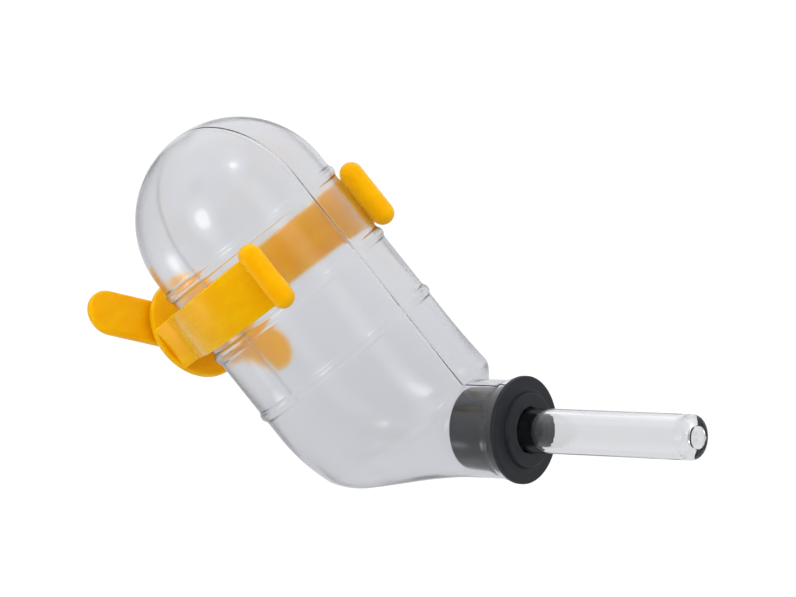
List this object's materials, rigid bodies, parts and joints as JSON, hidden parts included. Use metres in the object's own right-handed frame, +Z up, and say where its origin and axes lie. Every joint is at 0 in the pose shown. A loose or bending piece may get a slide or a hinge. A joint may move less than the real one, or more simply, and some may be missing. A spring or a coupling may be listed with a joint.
{
  "type": "small animal water bottle",
  "caption": "Clear bent-neck water bottle with a rubber stopper and glass drinking tube, held by a snap clip with a turning wing that locks on cage mesh.",
  "frame": {"origin": "centre of the holder disc's back face, which bears on the cage wall's wires", "axes": "+Z up along the bottle's body toward its dome, +X from the cage wall toward the bottle and its neck"},
  "size_m": [0.133, 0.0616, 0.1498],
  "materials": {
    "clear_plastic": "clear gloss",
    "dark_rubber": "matt moulded",
    "glass": "clear, fire-polished tip",
    "yellow_plastic": "satin gloss"
  },
  "bodies": {
    "holder": {"holder_clip": "yellow_plastic"},
    "wing": {"wing_toggle": "yellow_plastic"},
    "bottle": {"bottle_shell": "clear_plastic"},
    "stopper": {"rubber_stopper": "dark_rubber"},
    "tube": {"drinking_tube": "glass"}
  },
  "joints": [
    {"name": "wing_turn", "type": "hinge", "parent": "holder", "child": "wing", "pos_m": [0, 0, 0], "axis": [1, 0, 0], "continuous": true},
    {"name": "bottle_turn", "type": "hinge", "parent": "holder", "child": "bottle", "pos_m": [0.042, 0, 0], "axis": [0, 0, 1], "continuous": true},
    {"name": "stopper_pull", "type": "slide", "parent": "bottle", "child": "stopper", "axis": [0.8805, 0, -0.4741], "range_m": [0, 0.03]},
    {"name": "tube_pull", "type": "slide", "parent": "stopper", "child": "tube", "axis": [0.8805, 0, -0.4741], "range_m": [0, 0.022]}
  ]
}
